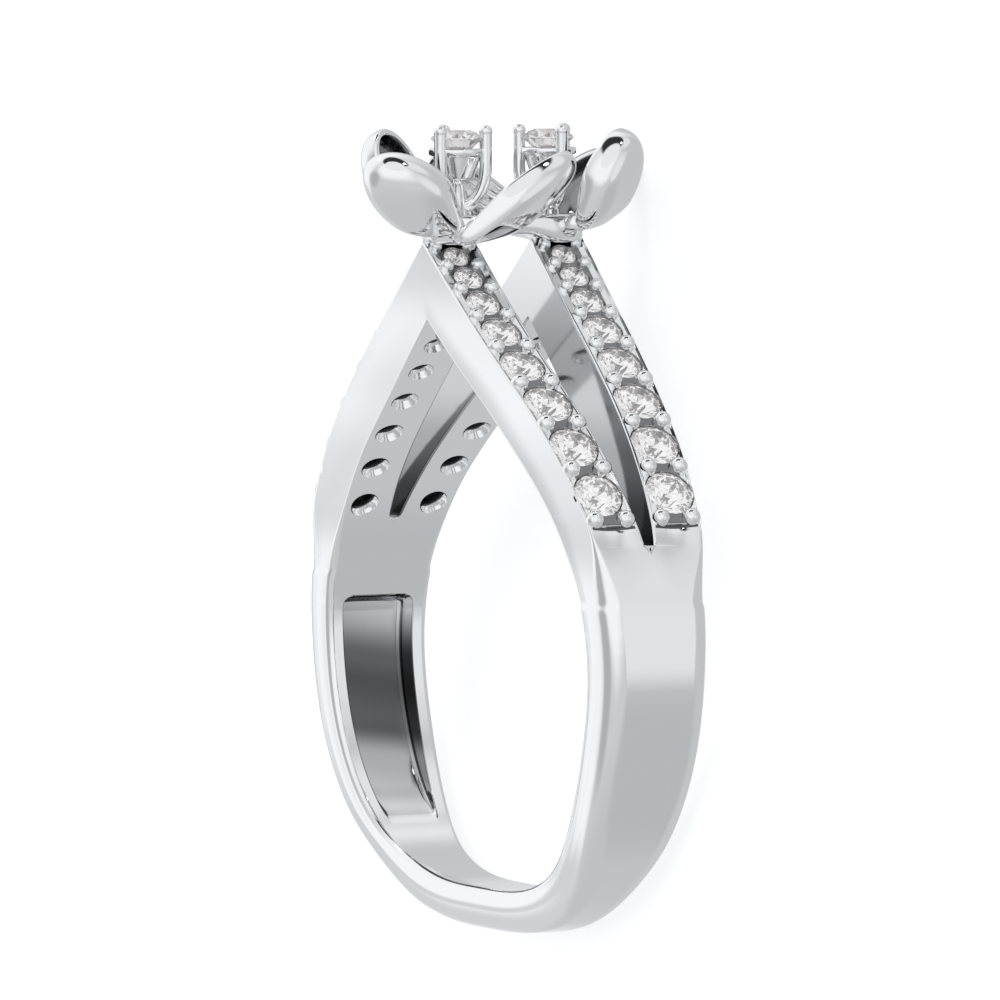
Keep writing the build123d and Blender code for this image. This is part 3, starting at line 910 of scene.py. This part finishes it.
def twin_of(bm):
    """Adds the same shape turned half round the head's axis."""
    copy = bmesh.ops.duplicate(bm, geom=bm.verts[:] + bm.edges[:] + bm.faces[:])
    verts = [g for g in copy["geom"] if isinstance(g, bmesh.types.BMVert)]
    bmesh.ops.rotate(bm, verts=verts, cent=(0, 0, 0), matrix=Matrix.Rotation(math.pi, 3, "Y"))


def egg_shell(bm, long_half, short_half, narrowing):
    """The lower half of a rounded block, drawn out into an egg that narrows towards its root."""
    bmesh.ops.create_cube(bm, size=2)
    bmesh.ops.subdivide_edges(bm, edges=bm.edges[:], cuts=PETAL_CUTS, use_grid_fill=True)
    upper = [v for v in bm.verts if v.co.z > 0.01]
    bmesh.ops.delete(bm, geom=upper, context="VERTS")
    power = PETAL_SQUARE
    for v in bm.verts:
        ball = Vector([math.tan(c * math.pi / 4) for c in v.co]).normalized()
        ball /= (math.hypot(ball.x, ball.y) ** power + abs(ball.z) ** power) ** (1 / power)
        root = 1 - narrowing * ease((-ball.y - NARROWING_START) / NARROWING_RUN)
        v.co.x = ball.x * short_half * root
        v.co.y = ball.y * long_half
        v.co.z = ball.z * (PETAL_DEPTH * short_half + PETAL_LIFT) * (0.5 + 0.5 * root) + PETAL_LIFT
    bmesh.ops.recalc_face_normals(bm, faces=bm.faces)


def petal_frame(centre, axis, opening):
    along = Vector(axis).normalized()
    across = along.cross(Vector(opening)).normalized()
    facing = across.cross(along)
    return Matrix.Translation(centre) @ Matrix((across, along, facing)).transposed().to_4x4()


def petal(name, centre, axis, long_half, short_half, opening, narrowing, painted_shade_inside):
    """A cupped petal and its twin. The inside's faces take the second silver, darker as painted shade where
    asked.
    """
    bm = bmesh.new()
    egg_shell(bm, long_half, short_half, narrowing)
    bmesh.ops.solidify(bm, geom=bm.faces[:], thickness=PETAL_WALL)
    bm.normal_update()
    for face in bm.faces:
        if face.normal.dot(face.calc_center_median()) < FACING_IN:
            face.material_index = 1
    bmesh.ops.transform(bm, matrix=petal_frame(centre, axis, opening), verts=bm.verts)
    twin_of(bm)
    piece = finish_piece(bm, name, [SILVER, CUPPED_SHADE if painted_shade_inside else SILVER])
    finer = piece.modifiers.new("finer", "SUBSURF")
    finer.levels = finer.render_levels = PETAL_LEVELS
    return on_ring(piece)


def tube(bm, path, radii, sides):
    """A round bar through a few points, one radius at each, closed at both ends."""
    points = [Vector(p) for p in path]
    loops = []
    for k, (point, radius) in enumerate(zip(points, radii)):
        ahead = (points[min(k + 1, len(points) - 1)] - points[max(k - 1, 0)]).normalized()
        turned = ahead.to_track_quat("Z", "Y").to_matrix().to_4x4()
        loops.append(edge_loop(bm, sides, radius, Matrix.Translation(point) @ turned))
    for first, second in zip(loops, loops[1:]):
        bmesh.ops.bridge_loops(bm, edges=first + second)
    bmesh.ops.holes_fill(bm, edges=loops[0] + loops[-1], sides=sides)


def petal_roots():
    """Short stalks from the lower ends of petals and leaves into the bridge."""
    bm = bmesh.new()
    for _, centre, axis, long_half, *_ in PETALS:
        low = Vector(centre) - Vector(axis).normalized() * (long_half - ROOT_OVERLAP)
        foot = Vector((ROOT_ASIDE, BRIDGE_TOP - BRIDGE_THICKNESS / 2, low.z * ROOT_DRAWN_IN))
        middle = (low + foot) / 2 + Vector(ROOT_BEND)
        tube(bm, [low, middle, foot], ROOT_RADII, ROOT_SIDES)
    twin_of(bm)
    bmesh.ops.recalc_face_normals(bm, faces=bm.faces)
    return on_ring(finish_piece(bm, "petal_roots", [SILVER]))


def on_setting(bm):
    """From round the z axis to the front setting's place, and its twin at the back."""
    upright = Matrix.Translation((0, 0, SETTING_OFFSET)) @ Matrix.Rotation(-math.pi / 2, 4, "X")
    bmesh.ops.transform(bm, matrix=upright, verts=bm.verts)
    twin_of(bm)
    bmesh.ops.recalc_face_normals(bm, faces=bm.faces)


def cups():
    """The two settings' cups with their rails, turned in one profile, on their stems."""
    rail = GIRDLE_HEIGHT - GIRDLE_SHARE * CLAW_STONE - SEAT_GAP - RAIL_DROP
    wide = CLAW_STONE / 2 + RAIL_LIP
    profile = CUP_FLOOR + [(wide - inset, z) for inset, z in CUP_RAIL] + CUP_STEM
    bm = bmesh.new()
    verts = [bm.verts.new((r, 0, rail + z)) for r, z in profile]
    edges = [bm.edges.new(pair) for pair in zip(verts, verts[1:])]
    turning = {"axis": (0, 0, 1), "cent": (0, 0, 0), "angle": 2 * math.pi}
    bmesh.ops.spin(bm, geom=verts + edges, steps=CUP_SIDES, use_merge=True, **turning)
    bmesh.ops.remove_doubles(bm, verts=bm.verts, dist=1e-4)
    on_setting(bm)
    return on_ring(finish_piece(bm, "setting_cups", [SILVER]))


def claw_line():
    """A claw's middle line and radii: in from the stem, upright beside the stone, a domed tip."""
    reach = CLAW_STONE / 2 + CLAW_RADIUS / 2
    top = GIRDLE_HEIGHT + CLAW_TOP
    path, radii = [], []
    for k in range(CLAW_STEPS + 1):
        turn = math.pi / 2 * k / CLAW_STEPS
        out = reach - (reach - CLAW_ROOT) * (1 - math.sin(turn))
        path.append((out, 0, GIRDLE_HEIGHT - CLAW_BEND - (CLAW_FOOT - CLAW_BEND) * math.cos(turn)))
        radii.append(CLAW_RADIUS)
    for drop in CLAW_UPRIGHT:
        path.append((reach, 0, top - drop))
        radii.append(CLAW_RADIUS)
    for k in CLAW_TIP_STEPS:
        turn = math.pi / 2 * k / CLAW_TIP_END
        path.append((reach, 0, top + CLAW_RADIUS * math.sin(turn)))
        radii.append(CLAW_RADIUS * CLAW_TIP_SWELL * math.cos(turn))
    return path, radii


def claws():
    """The three claws of each setting."""
    path, radii = claw_line()
    bm = bmesh.new()
    for degrees in CLAW_ANGLES:
        before = set(bm.verts)
        tube(bm, path, radii, CLAW_SIDES)
        turn = Matrix.Rotation(math.radians(degrees), 3, "Z")
        new = [v for v in bm.verts if v not in before]
        bmesh.ops.rotate(bm, verts=new, cent=(0, 0, 0), matrix=turn)
    on_setting(bm)
    return on_ring(finish_piece(bm, "claws", [SILVER]))


# Finishes


def fresh(name):
    material = bpy.data.materials.new(name)
    material.use_nodes = True
    nodes = material.node_tree.nodes
    return material, nodes, material.node_tree.links, nodes["Principled BSDF"]


def set_inputs(node, values):
    for name, value in values.items():
        node.inputs[name].default_value = value


def noise(nodes, links, scale_and_detail, vector):
    node = nodes.new("ShaderNodeTexNoise")
    set_inputs(node, dict(zip(("Scale", "Detail"), scale_and_detail)))
    links.new(vector, node.inputs["Vector"])
    return node.outputs["Fac"]


def polished_silver(name, colour, smoothest, roughest, ripple):
    """Bright metal: fine wipe marks in its gloss, and a ripple too slight to see but in reflections."""
    material, nodes, links, shader = fresh(name)
    set_inputs(shader, {"Base Color": (*colour, 1), "Metallic": 1.0})
    place = nodes.new("ShaderNodeTexCoord").outputs["Object"]
    stretched = nodes.new("ShaderNodeMapping")
    set_inputs(stretched, {"Scale": MARKS_STRETCH})
    links.new(place, stretched.inputs["Vector"])
    marks = noise(nodes, links, MARKS, stretched.outputs["Vector"])
    gloss = nodes.new("ShaderNodeMapRange")
    set_inputs(gloss, {"To Min": smoothest, "To Max": roughest})
    links.new(marks, gloss.inputs["Value"])
    links.new(gloss.outputs["Result"], shader.inputs["Roughness"])
    bump = nodes.new("ShaderNodeBump")
    set_inputs(bump, {"Strength": ripple, "Distance": RIPPLE_DEPTH})
    links.new(noise(nodes, links, RIPPLES, place), bump.inputs["Height"])
    links.new(bump.outputs["Normal"], shader.inputs["Normal"])
    return material


def painted_shade_silver(name, foot, top, shades):
    """The bright metal with painted shade and reflections: greys changing by degrees from shank to head."""
    material = polished_silver(name, BRIGHT, 0.06, 0.1, 0.05)
    nodes, links = material.node_tree.nodes, material.node_tree.links
    height = nodes.new("ShaderNodeSeparateXYZ")
    links.new(nodes["Texture Coordinate"].outputs["Object"], height.inputs["Vector"])
    along = nodes.new("ShaderNodeMapRange")
    set_inputs(along, {"From Min": foot, "From Max": top})
    links.new(height.outputs["Y"], along.inputs["Value"])
    ramp = nodes.new("ShaderNodeValToRGB")
    ramp.color_ramp.interpolation = "EASE"
    stops = ramp.color_ramp.elements
    for place, grey in shades:
        stop = stops[0] if place == 0 else stops[-1] if place == 1 else stops.new(place)
        stop.color = (grey, grey, grey * SHADE_BLUE, 1)
    links.new(along.outputs["Result"], ramp.inputs["Fac"])
    links.new(ramp.outputs["Color"], nodes["Principled BSDF"].inputs["Base Color"])
    return material


def clear_stone():
    """A colourless cut stone with the faintest warm cloud in it, and a faint painted glow."""
    material, nodes, links, shader = fresh("clear_stone_cut")
    set_inputs(shader, {"Transmission Weight": 1.0, "IOR": 2.4, "Roughness": 0.0})
    # A faint warm glow, painted light that brightens the stones though they are no lamp.
    set_inputs(shader, {"Emission Color": (1.0, 0.96, 0.95, 1), "Emission Strength": 0.04})
    place = nodes.new("ShaderNodeTexCoord").outputs["Object"]
    cloud = nodes.new("ShaderNodeMix")
    cloud.data_type = "RGBA"
    set_inputs(cloud, {"A": CLOUD_CLEAR, "B": CLOUD_WARM})
    links.new(noise(nodes, links, CLOUD, place), cloud.inputs["Factor"])
    links.new(cloud.outputs["Result"], shader.inputs["Base Color"])
    return material


def pale_floor():
    material, _, _, shader = fresh("pale_floor")
    set_inputs(shader, {"Base Color": (0.93, 0.93, 0.935, 1), "Roughness": 0.9, "Specular IOR Level": 0.1})
    set_inputs(shader, {"Emission Color": (1, 1, 1, 1), "Emission Strength": 0.5})
    return material


SILVER = polished_silver("bright_silver", BRIGHT, 0.05, 0.09, 0.05)
# The seats' silver is darker, as painted shade.
SEAT_SHADE = polished_silver("seat_painted_shade", (0.5, 0.5, 0.51), 0.1, 0.18, 0.1)
# The pockets' greys are painted shade, dark through their middle.
POCKET_PAINTED_SHADE = painted_shade_silver("pocket_painted_shade", POCKET_SHADE_FOOT, POCKET_SHADE_TOP, POCKET_SHADES)
# The slot's walls: painted shade, darker towards the foot.
SLOT_PAINTED_SHADE = painted_shade_silver("slot_painted_shade", SLOT_SHADE_FOOT, SLOT_SHADE_TOP, SLOT_SHADES)
# The strands' faces: painted reflections in graded greys.
SIDE_PAINTED_REFLECTION = painted_shade_silver("side_painted_reflection", SIDE_SHADE_FOOT, SIDE_SHADE_TOP, SIDE_SHADES)
FLARE = polished_silver("flare_silver", BRIGHT, 0.08, 0.14, 0.05)
# The holes under the stones are darker still, as painted shade.
AZURE_SHADE = polished_silver("azure_painted_shade", (0.16, 0.16, 0.165), 0.3, 0.45, 0.2)
# The bed between the stones is dark grey, as painted shade.
BED_SHADE = polished_silver("bed_painted_shade", (0.26, 0.26, 0.265), 0.12, 0.3, 0.3)
# The petals' insides are darker, as painted shade.
CUPPED_SHADE = polished_silver("cupped_painted_shade", (0.3, 0.3, 0.305), 0.08, 0.14, 0.05)
# A thin dark line of painted shade along the shelf's step.
SHADE_LINE = polished_silver("painted_shade_line", (0.13, 0.13, 0.135), 0.1, 0.2, 0.05)
# In the order of BAND_PARTS.
BAND_FINISHES = [SILVER, SEAT_SHADE, POCKET_PAINTED_SHADE, AZURE_SHADE, BED_SHADE, FLARE, SLOT_PAINTED_SHADE, SIDE_PAINTED_REFLECTION, SHADE_LINE]


# Room, light and camera


def to_laid(direction):
    return TURN.to_3x3() @ Vector(direction)


def floor():
    """The floor, which lights the ring but isn't seen in the metal or through the stones."""
    bm = bmesh.new()
    bmesh.ops.create_grid(bm, x_segments=1, y_segments=1, size=FLOOR_SIZE)
    piece = finish_piece(bm, "floor", [pale_floor()], standing=False)
    piece.visible_glossy = False
    piece.visible_transmission = False


def toward(nodes, links, direction, low, high):
    """How far the sky's direction lies within a soft cap round a direction, from 0 to 1."""
    where = nodes.get("where") or nodes.new("ShaderNodeTexCoord")
    where.name = "where"
    dot = nodes.new("ShaderNodeVectorMath")
    dot.operation = "DOT_PRODUCT"
    dot.inputs[1].default_value = to_laid(direction).normalized()
    links.new(where.outputs["Generated"], dot.inputs[0])
    cap = nodes.new("ShaderNodeMapRange")
    cap.interpolation_type = "SMOOTHSTEP"
    set_inputs(cap, {"From Min": low, "From Max": high})
    links.new(dot.outputs["Value"], cap.inputs["Value"])
    return cap.outputs["Result"]


def tinted(grey, tint):
    return tuple(grey * part for part in tint)


def painted(nodes, links, under, share, colour):
    """A colour painted over what is under it: another colour, or the last coat."""
    mix = nodes.new("ShaderNodeMix")
    mix.data_type = "RGBA"
    links.new(share, mix.inputs["Factor"])
    if isinstance(under, tuple):
        mix.inputs["A"].default_value = (*under, 1)
    else:
        links.new(under, mix.inputs["A"])
    mix.inputs["B"].default_value = (*colour, 1)
    return mix.outputs["Result"]


def studio():
    """A pale tent with greyer and brighter caps, and a narrow dark crescent over the head."""
    world = bpy.data.worlds.new("studio")
    bpy.context.scene.world = world
    world.use_nodes = True
    nodes, links = world.node_tree.nodes, world.node_tree.links
    tent = tinted(TENT_BASE, TENT_BASE_TINT)
    for direction, low, high, grey in TENT:
        share = toward(nodes, links, direction, low, high)
        tent = painted(nodes, links, tent, share, tinted(grey, TENT_TINT))
    links.new(tent, nodes["Background"].inputs["Color"])
    nodes["Background"].inputs["Strength"].default_value = 1.0


def lamp(name, direction, distance, size, power):
    data = bpy.data.lights.new(name, "AREA")
    data.shape = "DISK"
    data.size = size
    data.energy = power
    window = placed_object(name, data)
    out = to_laid(direction).normalized()
    window.location = Vector(LAMPS_ROUND) + out * distance
    window.rotation_mode = "QUATERNION"
    window.rotation_quaternion = out.to_track_quat("Z", "Y")


def view_pose():
    """The camera's place and turn by the standing ring, in millimetres."""
    back = Vector(VIEW_FROM).normalized()
    position = back * VIEW_DISTANCE
    right = Vector((0, 1, 0)).cross(back).normalized()
    aim = Vector((0, VIEW_HEIGHT, 0)) - right * VIEW_ASIDE
    back = (position - aim).normalized()
    right = (Vector((0, 1, 0)) + right * VIEW_ROLL).cross(back).normalized()
    pose = Matrix((right, back.cross(right), back)).transposed().to_4x4()
    pose.translation = position
    return pose


def camera():
    data = bpy.data.cameras.new("camera")
    data.lens = LENS
    data.sensor_width = SENSOR
    data.clip_start, data.clip_end = NEAREST, FARTHEST
    eye = placed_object("camera", data)
    laid = Matrix.Translation(LYING_SHIFT) @ TURN @ view_pose()
    laid.translation *= MM
    eye.matrix_world = laid
    bpy.context.scene.camera = eye


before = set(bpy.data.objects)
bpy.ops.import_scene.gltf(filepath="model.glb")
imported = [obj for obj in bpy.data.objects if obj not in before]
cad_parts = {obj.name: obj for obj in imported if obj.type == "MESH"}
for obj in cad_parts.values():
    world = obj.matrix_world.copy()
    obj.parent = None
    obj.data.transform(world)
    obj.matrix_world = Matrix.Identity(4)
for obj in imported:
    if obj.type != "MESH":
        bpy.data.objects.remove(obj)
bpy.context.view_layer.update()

STONE = clear_stone()
for node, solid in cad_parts.items():
    solid.data.materials.clear()
    solid.data.materials.append(STONE if "stone" in node else SILVER)

band()
beads()
bridge()
for row in PETALS:
    petal(*row)
petal_roots()
cups()
claws()

floor()
studio()
for row in LAMPS:
    lamp(*row)
camera()
bpy.context.scene.view_settings.view_transform = "Standard"
